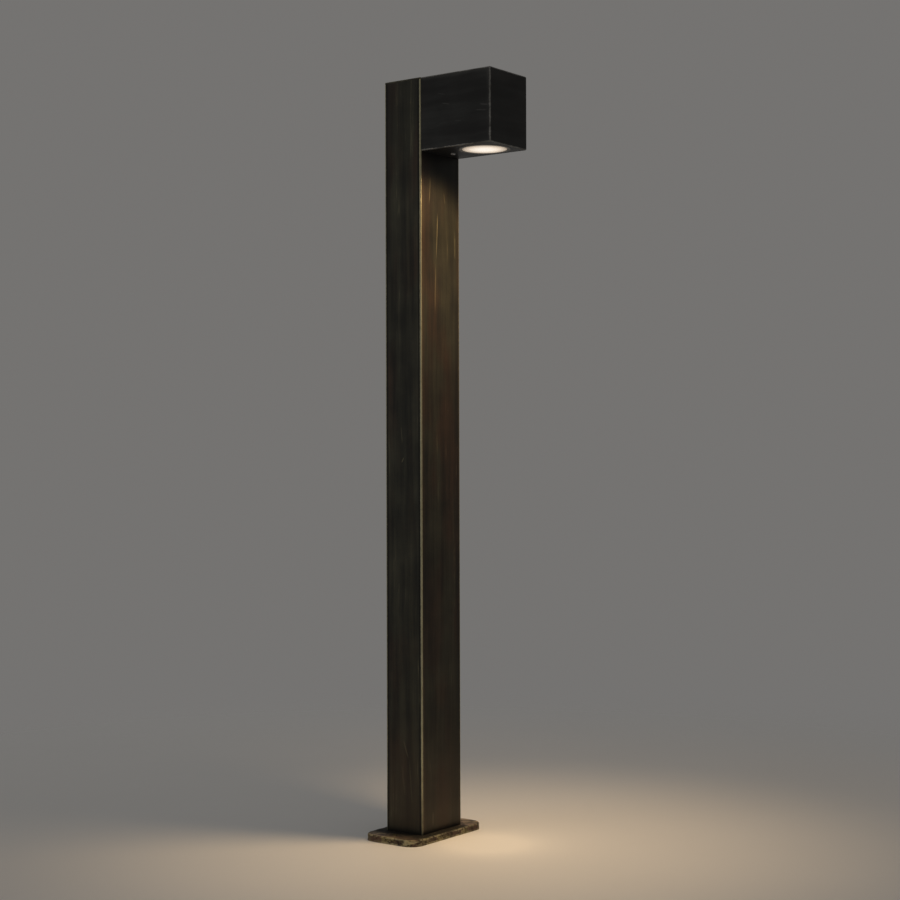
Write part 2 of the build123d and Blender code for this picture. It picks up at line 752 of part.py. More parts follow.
def make_lamp_wire(side):
    """One lamp lead, from its terminal up the post and forward over the lampholder."""
    near_y = side * wire_gap / 2
    far_y = side * pin_spacing / 2
    slow_bend = 60.0
    post_bend = 22.0
    holder_bend = wire_lift - 0.7
    return wire_along([
        (wire_x, side * pole_pitch, wire_foot), (wire_x, side * pole_pitch, wire_foot + 70),
        (wire_x, near_y, wire_foot + 130), (wire_x, near_y, wire_height),
        (post_front + 14, near_y, wire_height), (lens_x, far_y, wire_height),
        (lens_x, far_y, wire_end),
    ], [slow_bend, slow_bend, post_bend, slow_bend, holder_bend])


def make_live_wire():
    return make_lamp_wire(1)


def make_neutral_wire():
    return make_lamp_wire(-1)


# ---------------------------------------------------------------- write every node
nodes = {
    "base_plate": make_base_plate,
    "base_screws": make_base_screws,
    "cable_grommet": make_cable_grommet,
    "post": make_post,
    "top_cap": make_top_cap,
    "wire_grommet": make_wire_grommet,
    "head_housing": make_head_housing,
    "head_gasket": make_head_gasket,
    "head_bracket": make_head_bracket,
    "head_bracket_screws": make_head_bracket_screws,
    "head_fixing_screw": make_head_fixing_screw,
    "lens_ring": make_lens_ring,
    "glass_lens": make_glass_lens,
    "lens_seal": make_lens_seal,
    "lamp_reflector": make_lamp_reflector,
    "lamp_lens": make_lamp_lens,
    "lamp_base": make_lamp_base,
    "lamp_pins": make_lamp_pins,
    "lampholder": make_lampholder,
    "lampholder_contacts": make_lampholder_contacts,
    "lampholder_screws": make_lampholder_screws,
    "lampholder_bracket": make_lampholder_bracket,
    "lampholder_bracket_screws": make_lampholder_bracket_screws,
    "terminal_bracket": make_terminal_bracket,
    "terminal_bracket_screws": make_terminal_bracket_screws,
    "terminal_block": make_terminal_block,
    "terminal_block_screws": make_terminal_block_screws,
    "terminal_inserts": make_terminal_inserts,
    "terminal_screws": make_terminal_screws,
    "cord_clamp_base": make_cord_clamp_base,
    "cord_clamp_saddle": make_cord_clamp_saddle,
    "cord_clamp_screws": make_cord_clamp_screws,
    "earth_lug": make_earth_lug,
    "earth_screw": make_earth_screw,
    "earth_wire": make_earth_wire,
    "live_wire": make_live_wire,
    "neutral_wire": make_neutral_wire,
}

os.makedirs("parts", exist_ok=True)
for name, make in nodes.items():
    export_step(make(), f"parts/{name}.step")
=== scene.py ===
import json
import math

import bmesh
import bpy
from mathutils import Matrix, Vector, noise

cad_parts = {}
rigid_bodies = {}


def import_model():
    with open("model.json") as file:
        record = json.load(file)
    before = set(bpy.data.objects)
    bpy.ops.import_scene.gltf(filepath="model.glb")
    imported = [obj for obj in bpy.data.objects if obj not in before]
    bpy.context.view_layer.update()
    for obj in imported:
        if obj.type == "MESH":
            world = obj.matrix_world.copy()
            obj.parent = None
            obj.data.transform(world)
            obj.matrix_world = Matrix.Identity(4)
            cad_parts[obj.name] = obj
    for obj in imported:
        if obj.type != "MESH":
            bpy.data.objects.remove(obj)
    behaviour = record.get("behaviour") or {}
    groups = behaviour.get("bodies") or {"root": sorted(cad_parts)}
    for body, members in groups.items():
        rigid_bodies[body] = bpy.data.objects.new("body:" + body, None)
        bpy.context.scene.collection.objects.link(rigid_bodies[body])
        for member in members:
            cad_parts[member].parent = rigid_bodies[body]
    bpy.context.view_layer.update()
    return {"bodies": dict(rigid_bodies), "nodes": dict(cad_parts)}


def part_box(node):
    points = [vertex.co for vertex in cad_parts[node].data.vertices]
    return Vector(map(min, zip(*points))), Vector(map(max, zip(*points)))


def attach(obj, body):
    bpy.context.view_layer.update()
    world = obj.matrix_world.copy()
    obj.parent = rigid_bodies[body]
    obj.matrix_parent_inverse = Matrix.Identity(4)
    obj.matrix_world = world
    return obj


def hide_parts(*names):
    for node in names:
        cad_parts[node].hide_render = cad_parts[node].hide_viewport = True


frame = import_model()


# ---------------------------------------------------------------- the cast foot
# A flat plate of cast metal with a mottled bronze patina: sand-cast grain, dark hollows, and
# gold where the high spots and the rounded rim have been rubbed. It is bolted to the ground.
# Its top has painted light and shade: a painted shadow round the post and a lighter back.

MM = 0.001
nodes = frame["nodes"]


class Wire:
    """One output of a shader node. Sums on it add Math nodes to the same material."""

    def __init__(self, tree, output):
        self.tree = tree
        self.output = output

    def node(self, kind, settings=None, inputs=None, output=0):
        """Any node: its settings first, then the values or links of its sockets."""
        made = self.tree.nodes.new(kind)
        for name, value in (settings or {}).items():
            if name == "stops":
                ramp = made.color_ramp.elements
                while len(ramp) < len(value):
                    ramp.new(1.0)
                for stop, (place, colour) in zip(ramp, value):
                    stop.position = place
                    stop.color = (*colour, 1.0)
            else:
                setattr(made, name, value)
        for name, value in (inputs or {}).items():
            if isinstance(value, Wire):
                self.tree.links.new(value.output, made.inputs[name])
            else:
                made.inputs[name].default_value = value
        return Wire(self.tree, made.outputs[output])

    def math(self, operation, first, second=0.0):
        return self.node("ShaderNodeMath", {"operation": operation}, {0: first, 1: second})

    def __add__(self, other):
        return self.math("ADD", self, other)

    def __sub__(self, other):
        return self.math("SUBTRACT", self, other)

    def __rsub__(self, other):
        return self.math("SUBTRACT", other, self)

    def __mul__(self, other):
        return self.math("MULTIPLY", self, other)

    def __truediv__(self, other):
        return self.math("DIVIDE", self, other)

    def __abs__(self):
        return self.math("ABSOLUTE", self)

    __radd__ = __add__
    __rmul__ = __mul__

    def least(self, other):
        return self.math("MINIMUM", self, other)

    def most(self, other):
        return self.math("MAXIMUM", self, other)

    def step(self, low, high):
        """0 below low, 1 above high, and a smooth rise between them."""
        return self.node("ShaderNodeMapRange", {"interpolation_type": "SMOOTHSTEP"},
                         {"Value": self, "From Min": low, "From Max": high})

    def axes(self):
        """The three parts of a vector."""
        split = self.node("ShaderNodeSeparateXYZ", None, {0: self}).output.node
        return [Wire(self.tree, part) for part in split.outputs]

    def stretched(self, x, y, z):
        """The place multiplied along each axis."""
        return self.node("ShaderNodeVectorMath", {"operation": "MULTIPLY"}, {0: self, 1: (x, y, z)})

    def wandering(self, scale, amount, seed):
        """The place moved by up to half of amount, so that straight grain wavers."""
        drift = self.node("ShaderNodeTexNoise", {"noise_dimensions": "4D"},
                          {"Vector": self, "W": seed, "Scale": scale, "Detail": 1.0}, "Color")
        return self.node("ShaderNodeVectorMath", {"operation": "MULTIPLY_ADD"},
                         {0: drift, 1: (amount, amount, amount), 2: self})

    def cloud(self, scale, detail=2.0, roughness=0.5, seed=0.0):
        """Smooth noise from 0 to 1, in features of about 1 / scale metres."""
        return self.node("ShaderNodeTexNoise", {"noise_dimensions": "4D"},
                         {"Vector": self, "W": seed, "Scale": scale, "Detail": detail,
                          "Roughness": roughness})

    def mixed(self, low, high):
        """Two colours blended by this mask."""
        low, high = [end if isinstance(end, Wire) else (*end, 1.0) for end in (low, high)]
        return self.node("ShaderNodeMix", {"data_type": "RGBA"}, {0: self, 6: low, 7: high}, 2)


def new_finish(name):
    """A material, its shader node, and the place on the object in metres."""
    material = bpy.data.materials.new(name)
    material.use_nodes = True
    tree = material.node_tree
    place = Wire(tree, None).node("ShaderNodeTexCoord", output="Object")
    return material, tree.nodes["Principled BSDF"], place


def feed(shader, **inputs):
    """Sets the shader's sockets: Base_Color stands for Base Color."""
    for name, value in inputs.items():
        socket = shader.inputs[name.replace("_", " ")]
        if isinstance(value, Wire):
            value.tree.links.new(value.output, socket)
        elif socket.type == "RGBA":
            socket.default_value = (*value, 1.0)
        else:
            socket.default_value = value


def bumped(shader, height, depth):
    """Relief on the surface: depth in metres for a height of 0 to 1."""
    normal = height.node("ShaderNodeBump", None, {"Height": height, "Distance": depth})
    feed(shader, Normal=normal)


def paint(material, *names):
    """Gives the material to CAD nodes."""
    for name in names:
        nodes[name].material_slots[0].material = material


def edge_reach(place, low, high, width, sides=(1, 1, 1)):
    """How far a point lies into the band along a box's edges, in metres, above 0 inside it.

    For each axis, 1 counts both of its faces, 2 the high face only, and 0 neither."""
    reach = []
    for part, a, b, side in zip(place.axes(), low, high, sides):
        if side == 1:
            reach.append(abs(part - (a + b) / 2) - ((b - a) / 2 - width))
        elif side == 2:
            reach.append(part - (b - width))
    if len(reach) == 2:
        return reach[0].least(reach[1])
    first, second, third = reach
    return first.least(second).most(second.least(third)).most(first.least(third))


def cast_bronze():
    material, shader, place = new_finish("cast_bronze")
    low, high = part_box("base_plate")
    post_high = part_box("post")[1]
    x, y, z = place.axes()
    flat_top = z.step(high[2] - 1.2 * MM, high[2] - 0.2 * MM)
    grain = place.cloud(600, 3, 0.65, 1.0)
    blotch = place.wandering(200, 6 * MM, 15.0).cloud(115, 3, 0.66, 2.0)

    hollow, chestnut, olive = (0.026, 0.017, 0.014), (0.105, 0.066, 0.050), (0.190, 0.165, 0.076)
    sandy = (0.34, 0.29, 0.17)
    olive_part = place.cloud(42, 2, 0.55, 7.0).step(0.46, 0.55)
    aged = olive_part.mixed(chestnut, olive)
    patina = (blotch * 0.75 + grain * 0.25).step(0.43, 0.55).mixed(hollow, aged)
    speck = place.cloud(430, 3, 0.7, 19.0).step(0.50, 0.60)
    speckled = (speck * (0.25 + 0.40 * olive_part)).mixed(patina, sandy)

    # Painted light and shade on the top face, over the mottled patina: lighter towards the back and
    # the +y end, darker at the front and the -y end.
    shaded_top_colour, lit_top_colour = (0.105, 0.080, 0.056), (0.420, 0.325, 0.230)
    dark_top = (0.070, 0.052, 0.041)
    lit_top_part = (1.0 - x.step(-30 * MM, 5 * MM)).most(y.step(25 * MM, 50 * MM))
    top_patina_and_light = blotch.step(0.42, 0.56).mixed(dark_top, lit_top_part.mixed(shaded_top_colour, lit_top_colour))
    topped = (flat_top * 0.6).mixed(speckled, top_patina_and_light)

    # Painted shadow round the post on the top face: a near-black band 9 to 34 mm wide, fainter
    # towards +y. Below, it also dims the rubbed gold and makes the band rougher and less metallic.
    darkening = (0.011, 0.010, 0.007)
    from_post = (abs(x) - post_high[0]).most(abs(y) - post_high[1])
    post_shadow = (1.0 - (from_post + 16 * MM * (blotch - 0.5)).step(9 * MM, 34 * MM)) * flat_top
    post_shadow = post_shadow * (1.0 - 0.75 * y.step(30 * MM, 50 * MM))
    shadowed = (post_shadow * 0.96).mixed(topped, darkening)

    worn_part = place.cloud(36, 2, 0.5, 18.0).step(0.42, 0.56)
    rim = edge_reach(place, low, high, 2.8 * MM).step(0.0, 1.6 * MM)
    rim = rim * place.cloud(230, 3, 0.7, 17.0).step(0.42, 0.56) * (0.55 + 0.45 * worn_part)
    uneven = place.wandering(400, 3 * MM, 16.0)
    chips = place.node("ShaderNodeTexVoronoi", None, {"Vector": uneven, "Scale": 240.0})
    flecks = (1.0 - chips.step(0.12, 0.36)) * worn_part * (1.0 - flat_top * 0.5) * 0.7
    from_corner = abs(x - (high[0] - 9 * MM)).most(abs(y - (low[1] + 5 * MM)))
    scrapes = place.stretched(70.0, 70.0, 420.0).cloud(1.0, 2, 0.6, 22.0).step(0.50, 0.60)
    scrapes = scrapes * (1.0 - from_corner.step(5 * MM, 15 * MM)) * (1.0 - flat_top) * 0.8
    rubbed = rim.most(flecks).most(scrapes)
    gold = grain.mixed((0.40, 0.35, 0.18), (0.66, 0.60, 0.40))

    feed(shader, Base_Color=(rubbed * 0.85 * (1.0 - 0.7 * post_shadow)).mixed(shadowed, gold),
         Metallic=(0.40 + 0.40 * rubbed) * (1.0 - 0.8 * post_shadow),
         Roughness=0.58 - 0.20 * rubbed + 0.16 * grain + 0.22 * post_shadow, Specular_IOR_Level=0.22)
    bumped(shader, grain * 0.5 + chips * 0.4 + blotch * 0.5, 0.5 * MM)
    return material


def finished(form, name, smooth):
    """An object of the scene from mesh data, with smooth or flat shading."""
    shape = bpy.data.meshes.new(name)
    form.to_mesh(shape)
    form.free()
    for face in shape.polygons:
        face.use_smooth = smooth
    piece = bpy.data.objects.new(name, shape)
    bpy.context.scene.collection.objects.link(piece)
    return piece


def cast_skin(source, edge, depth, flat_below, holes):
    """The piece's own outline, cut into small faces and made uneven as sand leaves it.

    The skin only sinks inwards, and the drilled holes and the flat underside stay true."""
    most_cuts, rise_over, hole_land, land_fade = 9, 1.0 * MM, 0.3 * MM, 1.5 * MM
    coarse, fine, pitting, pit_shift = 95.0, 260.0, 520.0, Vector((3.0, 0, 0))
    form = bmesh.new()
    form.from_mesh(source.data)
    bmesh.ops.remove_doubles(form, verts=form.verts, dist=1e-6)
    for _ in range(most_cuts):
        long_edges = [line for line in form.edges if line.calc_length() > edge]
        if not long_edges:
            break
        bmesh.ops.subdivide_edges(form, edges=long_edges, cuts=1)
        bmesh.ops.triangulate(form, faces=form.faces)
    form.normal_update()
    for point in form.verts:
        spot = point.co
        near_hole = min(math.hypot(spot.x - x, spot.y - y) - radius for x, y, radius in holes)
        rise = min(max((spot.z - flat_below) / rise_over, 0.0), 1.0)
        keep = min(max((near_hole - hole_land) / land_fade, 0.0), 1.0) * rise
        lump = 0.5 + 0.35 * noise.noise(spot * coarse) + 0.35 * noise.noise(spot * fine)
        pit = max(0.0, noise.noise(spot * pitting + pit_shift) - 0.25)
        point.co -= point.normal * (depth * keep * min(max(lump + 0.8 * pit, 0.0), 1.0))
    return finished(form, "cast_foot", True)


anchor_y, anchor_r, inside_post_r = 60 * MM, 4.5 * MM, 30 * MM
kept_true = [(0.0, -anchor_y, anchor_r), (0.0, anchor_y, anchor_r), (0.0, 0.0, inside_post_r)]
cast_foot = cast_skin(nodes["base_plate"], edge=2.2 * MM, depth=0.55 * MM, flat_below=1.0 * MM,
                      holes=kept_true)
cast_foot.data.materials.append(cast_bronze())
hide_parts("base_plate")
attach(cast_foot, "post_and_head")


# ---------------------------------------------------------------- bushes and seals
# Black rubber: the cable bush in the foot, the wire bush in the post, and the strip round the
# back of the head. Moulded, dull, with a faint bloom of dust. The glass has a clear silicone seal.

def rubber(name, colour, dust):
    material, shader, place = new_finish(name)
    bloom = place.cloud(260, 4, 0.6, 3.0)
    feed(shader, Base_Color=bloom.step(0.45, 0.8).mixed(colour, dust),
         Roughness=0.62 + 0.25 * bloom, Specular_IOR_Level=0.35)
    bumped(shader, place.cloud(2400, 2, 0.5, 4.0), 0.04 * MM)
    return material


paint(rubber("black_rubber", (0.012, 0.012, 0.013), (0.060, 0.058, 0.054)),
      "cable_grommet", "wire_grommet", "head_gasket")
paint(rubber("clear_silicone", (0.55, 0.55, 0.53), (0.66, 0.65, 0.62)), "lens_seal")


# ---------------------------------------------------------------- screws
# Stainless pan-head and countersunk screws with crossed recesses, and slotted grub screws in the
# terminals. The steel is satin and a little smeared, with specks of dirt.

def stainless():
    material, shader, place = new_finish("stainless")
    smear = place.cloud(700, 3, 0.6, 5.0)
    dirt = place.cloud(1500, 4, 0.7, 6.0).step(0.55, 0.75)
    steel = smear.mixed((0.40, 0.39, 0.37), (0.62, 0.61, 0.59))
    feed(shader, Base_Color=(dirt * 0.6).mixed(steel, (0.10, 0.09, 0.08)),
         Metallic=1.0 - 0.4 * dirt, Roughness=0.28 + 0.25 * smear + 0.2 * dirt)
    bumped(shader, smear, 0.03 * MM)
    return material


paint(stainless(), "base_screws", "terminal_bracket_screws", "terminal_block_screws",
      "terminal_screws", "cord_clamp_screws", "earth_screw", "head_bracket_screws",
      "lampholder_bracket_screws", "lampholder_screws", "head_fixing_screw")


# ---------------------------------------------------------------- folded brackets
# Zinc-plated sheet, cut and folded: one stands on the foot with the terminals, one hangs the head
# on the post, and one carries the lampholder. The plating shows large soft crystals.

def zinc_plate():
    material, shader, place = new_finish("zinc_plate")
    crystals = place.node("ShaderNodeTexVoronoi", {"feature": "SMOOTH_F1"},
                          {"Vector": place, "Scale": 130.0, "Smoothness": 0.4}, "Color")
    shade = crystals.node("ShaderNodeSeparateColor", None, {0: crystals})
    haze = place.cloud(90, 3, 0.6, 8.0)
    dull, bright = (0.42, 0.43, 0.45), (0.74, 0.75, 0.76)
    feed(shader, Base_Color=(shade * 0.5 + haze * 0.5).mixed(dull, bright), Metallic=0.95,
         Roughness=0.32 + 0.22 * shade)
    bumped(shader, shade, 0.02 * MM)
    return material


paint(zinc_plate(), "terminal_bracket", "head_bracket", "lampholder_bracket")


# ---------------------------------------------------------------- terminals and wiring
# A moulded three-pole block with brass barrels, a black clamp for the supply cable, and three
# leads in coloured insulation that run up inside the post.

def moulded(name, low, high, roughness, grain=1400.0):
    """Moulded plastic or fired clay: a fine even grain and a slight change of shade."""
    material, shader, place = new_finish(name)
    shade = place.cloud(120, 3, 0.55, 9.0)
    fine = place.cloud(grain, 2, 0.5, 10.0)
    feed(shader, Base_Color=shade.mixed(low, high), Roughness=roughness + 0.14 * fine)
    bumped(shader, fine, 0.03 * MM)
    return material


def brass():
    material, shader, place = new_finish("brass")
    tarnish = place.cloud(350, 4, 0.65, 11.0).step(0.40, 0.72)
    bright, dull = (0.78, 0.58, 0.26), (0.36, 0.24, 0.11)
    feed(shader, Base_Color=tarnish.mixed(bright, dull), Metallic=1.0,
         Roughness=0.24 + 0.3 * tarnish)
    return material


def striped_insulation():
    material, shader, place = new_finish("green_and_yellow")
    green, yellow = (0.05, 0.30, 0.06), (0.75, 0.66, 0.06)
    x, _, z = place.axes()
    winding = x * 2600.0 + z * 500.0
    feed(shader, Base_Color=winding.math("SINE", winding).step(-0.1, 0.1).mixed(green, yellow),
         Roughness=0.42)
    return material


paint(moulded("terminal_white", (0.62, 0.62, 0.60), (0.74, 0.74, 0.71), 0.42), "terminal_block")
paint(moulded("clamp_black", (0.016, 0.016, 0.017), (0.030, 0.030, 0.031), 0.46),
      "cord_clamp_base", "cord_clamp_saddle")
paint(moulded("brown_insulation", (0.110, 0.045, 0.018), (0.150, 0.062, 0.026), 0.38), "live_wire")
paint(moulded("blue_insulation", (0.020, 0.090, 0.340), (0.032, 0.120, 0.420), 0.38),
      "neutral_wire")
paint(striped_insulation(), "earth_wire")
paint(brass(), "terminal_inserts", "earth_lug", "lamp_pins", "lampholder_contacts")


# ---------------------------------------------------------------- the post and its cap
# An extruded tube, patinated nearly black and brushed along its length so that bronze shows in
# long streaks. The four corners are rubbed through to gold. The cap is pressed into the top.
# Painted shadow darkens the foot of the post and its front face under the head, and a painted
# warm highlight lies along the front face's edges.

def rub_mark(place, box, side, start, end, width, strength):
    """A soft scratch on one face, between two (across, up) places. These are in millimetres."""
    x, y, z = place.axes()
    low, high = box
    across, face, plane = (x, y * -1.0, -low[1]) if side == "left" else (y, x, high[0])
    length = math.dist(start, end) * MM
    run, rise = (end[0] - start[0]) * MM / length, (end[1] - start[1]) * MM / length
    aside, above = across - start[0] * MM, z - start[1] * MM
    along = aside * run + above * rise
    off = aside * rise - above * run
    wander = (place.cloud(40, 1, 0.5, 12.0) - 0.5) * (3.0 * MM)
    nearness = 1.0 - (abs(off + wander) / (width * MM)).least(1.0)
    fade = 0.3 * length
    ends = along.step(0.0, fade) * (length - along).step(0.0, fade)
    return nearness * ends * face.step(plane - 0.4 * MM, plane - 0.1 * MM) * strength


def brushed_bronze(name, grain, box, sides, seed, look, marks=()):
    """Dark patina over brushed bronze: soft streaks along the brushing, tints, and worn edges, with
    painted shadows at the foot and under the head and a painted warm highlight by the front edges.

    look holds its colours, and how strongly each effect shows, mostly from 0 to 1."""
    material, shader, place = new_finish(name)
    low, high = box
    x, y, z = place.axes()
    centre, half = (low[0] + high[0]) / 2, (high[0] - low[0]) / 2
    on_front = abs(x - centre).step(half - 0.5 * MM, half - 0.1 * MM)
    brushed = place.wandering(11, 5 * MM, seed + 9).stretched(*grain)
    band = brushed.cloud(0.28, 2, 0.5, seed)
    streak = brushed.cloud(1.0, 2, 0.5, seed + 1)
    hair = brushed.cloud(4.5, 2, 0.55, seed + 2)
    cloudy = place.cloud(20, 3, 0.55, seed + 3)
    dust = place.cloud(900, 2, 0.6, seed + 4)
    patch = place.stretched(22.0, 22.0, 7.0).cloud(1.0, 2, 0.5, seed + 6)
    width = look["edge"]
    reach = edge_reach(place, low, high, width, sides)

    thin = (band * 0.34 + streak * 0.30 + hair * 0.12 + cloudy * 0.24).step(0.38, 0.64)
    # Along the front face's edges: a red-brown patina tint, and also a painted warm highlight of the
    # lamp, which lightens the patina there.
    tint_and_sheen = (reach + 11 * MM * band).step(-1 * MM, 5 * MM) * on_front * look["edge_tint_and_sheen"]
    tint = (streak * 0.25 + patch * 0.75).step(look["browns"] - 0.07, look["browns"] + 0.07)
    bronze = (tint * (1.0 - tint_and_sheen)).mixed(look["red_brown"], look["olive"])
    patina = (thin + tint_and_sheen * 0.5).least(1.0).mixed(look["dark"], bronze)

    glint = (streak * 0.5 + hair * 0.5).step(0.58, 0.74) * cloudy.step(0.44, 0.60) * look["glints"]
    for mark in marks:
        glint = glint.most(rub_mark(place, box, *mark) * (0.4 + 0.6 * hair))
    streaked = glint.mixed(patina, look["glint"])

    haze = (reach + 9 * MM * cloudy).step(-1 * MM, 6 * MM) * (0.35 + 0.65 * z.step(0.945, 0.995))
    hazy = (haze * look["haze"] * (1.0 - on_front)).mixed(streaked, look["worn_low"])
    calm = (z.step(0.84, 0.96) * look["calm_top"]).mixed(hazy, look["dark"])
    # Warmer brown towards the bottom of the post.
    warm_low_part = (1.0 - z.step(20 * MM, 190 * MM)) * look["low_warmth"]
    warmed = warm_low_part.mixed(calm, look["low_warm_colour"])

    beside = (reach + 1.6 * width).step(0.0, 1.2 * width) * look["darkening"] * (1.0 - on_front)
    # Painted shadow where the post stands on the foot: near black up to about 17 mm.
    foot_contact_shadow = (1.0 - z.step(9.5 * MM, 17 * MM)) * 0.8
    # Painted shadow of the head on the post's front face, below the head, with a slanting lower edge.
    under_head = (z + 0.72 * y + 14 * MM * cloudy).step(846 * MM, 896 * MM) * look["head_shadow"]
    under_head = under_head * x.step(high[0] - 0.5 * MM, high[0] - 0.1 * MM)
    # The patina band beside the edges and the painted shadows all go towards near black.
    dark_patina_and_shadow = beside.most(foot_contact_shadow).most(under_head).mixed(warmed, look["black"])

    ragged = (place.cloud(320, 3, 0.6, seed + 7) - 0.5) * (width * look["ragged"])
    worn = (reach + ragged).step(0.0, 0.5 * width)
    patchy = place.cloud(55, 3, 0.6, seed + 8).step(0.34, 0.56)
    kept = look["rub_foot"] + (1.0 - look["rub_foot"]) * z.step(10 * MM, 110 * MM)
    rubbed = worn * (look["rub_low"] + (look["rub_high"] - look["rub_low"]) * patchy) * kept
    gold = hair.mixed(look["worn_low"], look["worn_high"])

    feed(shader, Base_Color=rubbed.mixed(dark_patina_and_shadow, gold), Metallic=look["metal"] + 0.3 * rubbed,
         Roughness=look["rough"] - 0.10 * thin - 0.06 * rubbed + 0.10 * hair,
         Specular_IOR_Level=look["gloss"])
    bumped(shader, hair * 0.5 + dust * 0.5, 0.05 * MM)
    return material


post_look = {
    "black": (0.008, 0.008, 0.007), "dark": (0.0200, 0.0198, 0.0170),
    "red_brown": (0.064, 0.041, 0.028), "olive": (0.058, 0.054, 0.037), "browns": 0.45,
    "edge_tint_and_sheen": 0.6, "glint": (0.42, 0.37, 0.21), "glints": 0.35, "haze": 0.0, "calm_top": 0.45,
    "low_warm_colour": (0.078, 0.059, 0.038), "low_warmth": 0.42, "darkening": 0.8, "head_shadow": 0.85,
    "edge": 2.4 * MM, "ragged": 0.4, "rub_low": 0.80, "rub_high": 1.0, "rub_foot": 0.35,
    "worn_low": (0.44, 0.41, 0.26), "worn_high": (0.60, 0.55, 0.36),
    "metal": 0.62, "rough": 0.47, "gloss": 0.30,
}
cap_look = dict(post_look, edge=1.6 * MM, ragged=1.2, rub_low=0.04, rub_high=0.26, darkening=0.0,
                edge_tint_and_sheen=0.0, head_shadow=0.0, low_warmth=0.0, calm_top=0.0)
post_marks = [
    ("left", (-2, 134), (8, 105), 1.5, 0.22),
    ("left", (8, 112), (14, 34), 1.6, 0.15),
    ("left", (-5, 104), (2, 52), 2.4, 0.12),
    ("left", (-3, 495), (1.5, 503), 1.0, 0.40),
    ("left", (-4, 545), (-2, 520), 1.1, 0.14),
    ("left", (8, 885), (10, 690), 3.5, 0.07),
    ("left", (13, 560), (16, -180), 8.0, 0.07),
    ("left", (-4, 330), (0, -90), 7.0, 0.04),
    ("front", (27, 330), (27, -110), 15.0, 0.05),
    ("front", (-22, 874), (-24, 834), 1.4, 0.30),
    ("front", (-6, 829), (-9, 762), 1.3, 0.50),
    ("front", (8, 856), (10, 838), 1.3, 0.22),
    ("front", (-11, 760), (-12, 690), 1.8, 0.22),
    ("front", (-20, 38), (-20, 15), 1.8, 0.30),
]
along_the_post, across_the_cap = (85.0, 85.0, 4.2), (85.0, 20.0, 60.0)
paint(brushed_bronze("brushed_bronze_post", along_the_post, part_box("post"), (1, 1, 0), 20.0,
                     post_look, post_marks), "post")
paint(brushed_bronze("brushed_bronze_cap", across_the_cap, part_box("top_cap"), (1, 1, 1), 30.0,
                     cap_look), "top_cap")


# ---------------------------------------------------------------- lampholder and lamp
# The holder is unglazed ceramic. The lamp is a 50 mm reflector lamp: a bright faceted bowl, a lit
# front disc and a white moulded neck. It goes up into the holder and turns to lock.

def reflector():
    material, shader, place = new_finish("reflector")
    smear = place.cloud(180, 3, 0.6, 40.0)
    feed(shader, Base_Color=smear.mixed((0.60, 0.60, 0.59), (0.86, 0.86, 0.84)), Metallic=1.0,
         Roughness=0.12 + 0.16 * smear)
    bumped(shader, place.cloud(500, 2, 0.5, 41.0), 0.03 * MM)
    return material


def joined(form, rings):
    """Faces from each ring of points to the next, and from the last ring to the first."""
    for here, there in zip(rings, rings[1:] + rings[:1]):
        for row in range(len(here)):
            after = (row + 1) % len(here)
            form.faces.new((here[row], there[row], there[after], here[after]))


def faceted_bowl(bowl_box, neck_r):
    """The lamp's bowl: rows of flat facets on the CAD bowl's arc, staggered on the outside."""
    low, high = bowl_box
    centre_x, outer_r = (low[0] + high[0]) / 2, (high[0] - low[0]) / 2
    rim, wall, facets, rows = 2 * MM, 0.95 * MM, 44, 13
    rise = high[2] - low[2] - rim
    arc_x = ((outer_r ** 2 - neck_r ** 2) - rise ** 2) / (2 * (outer_r - neck_r))
    arc_r = outer_r - arc_x
    sweep = math.asin(rise / arc_r)
    outside = [(outer_r, low[2])]
    for row in range(rows + 1):
        turn = sweep * row / rows
        outside.append((arc_x + arc_r * math.cos(turn), low[2] + rim + arc_r * math.sin(turn)))
    section = outside + [(radius - wall, z) for radius, z in reversed(outside)]
    form = bmesh.new()
    rings = []
    for step in range(facets):
        ring = []
        for row, (radius, z) in enumerate(section):
            stagger = 0.5 if row % 2 and 1 < row <= rows else 0.0
            angle = 2 * math.pi * (step + stagger) / facets
            ring.append(form.verts.new((centre_x + radius * math.cos(angle),
                                        radius * math.sin(angle), z)))
        rings.append(ring)
    joined(form, rings)
    bmesh.ops.triangulate(form, faces=form.faces)
    bmesh.ops.recalc_face_normals(form, faces=form.faces)
    return finished(form, "faceted_bowl", False)


def lit_glass(name, centre, glows, strength):
    """Frosted glass with light behind it: glows are (radius, colour), from the middle outwards."""
    material, shader, place = new_finish(name)
    x, y, _ = place.axes()
    away = (x - centre[0]) * (x - centre[0]) + (y - centre[1]) * (y - centre[1])
    frost = place.cloud(1800, 2, 0.5, 41.0)
    outermost = glows[-1][0]
    radius = (away.math("SQRT", away) + (frost - 0.5) * (0.8 * MM)) / outermost
    stops = [(glow_r / outermost, colour) for glow_r, colour in glows]
    glow = place.node("ShaderNodeValToRGB", {"stops": stops}, {"Fac": radius})
    feed(shader, Base_Color=frost.mixed((0.74, 0.73, 0.69), (0.84, 0.83, 0.79)), Roughness=0.38,
         Emission_Color=glow, Emission_Strength=strength)
    bumped(shader, frost, 0.05 * MM)
    return material


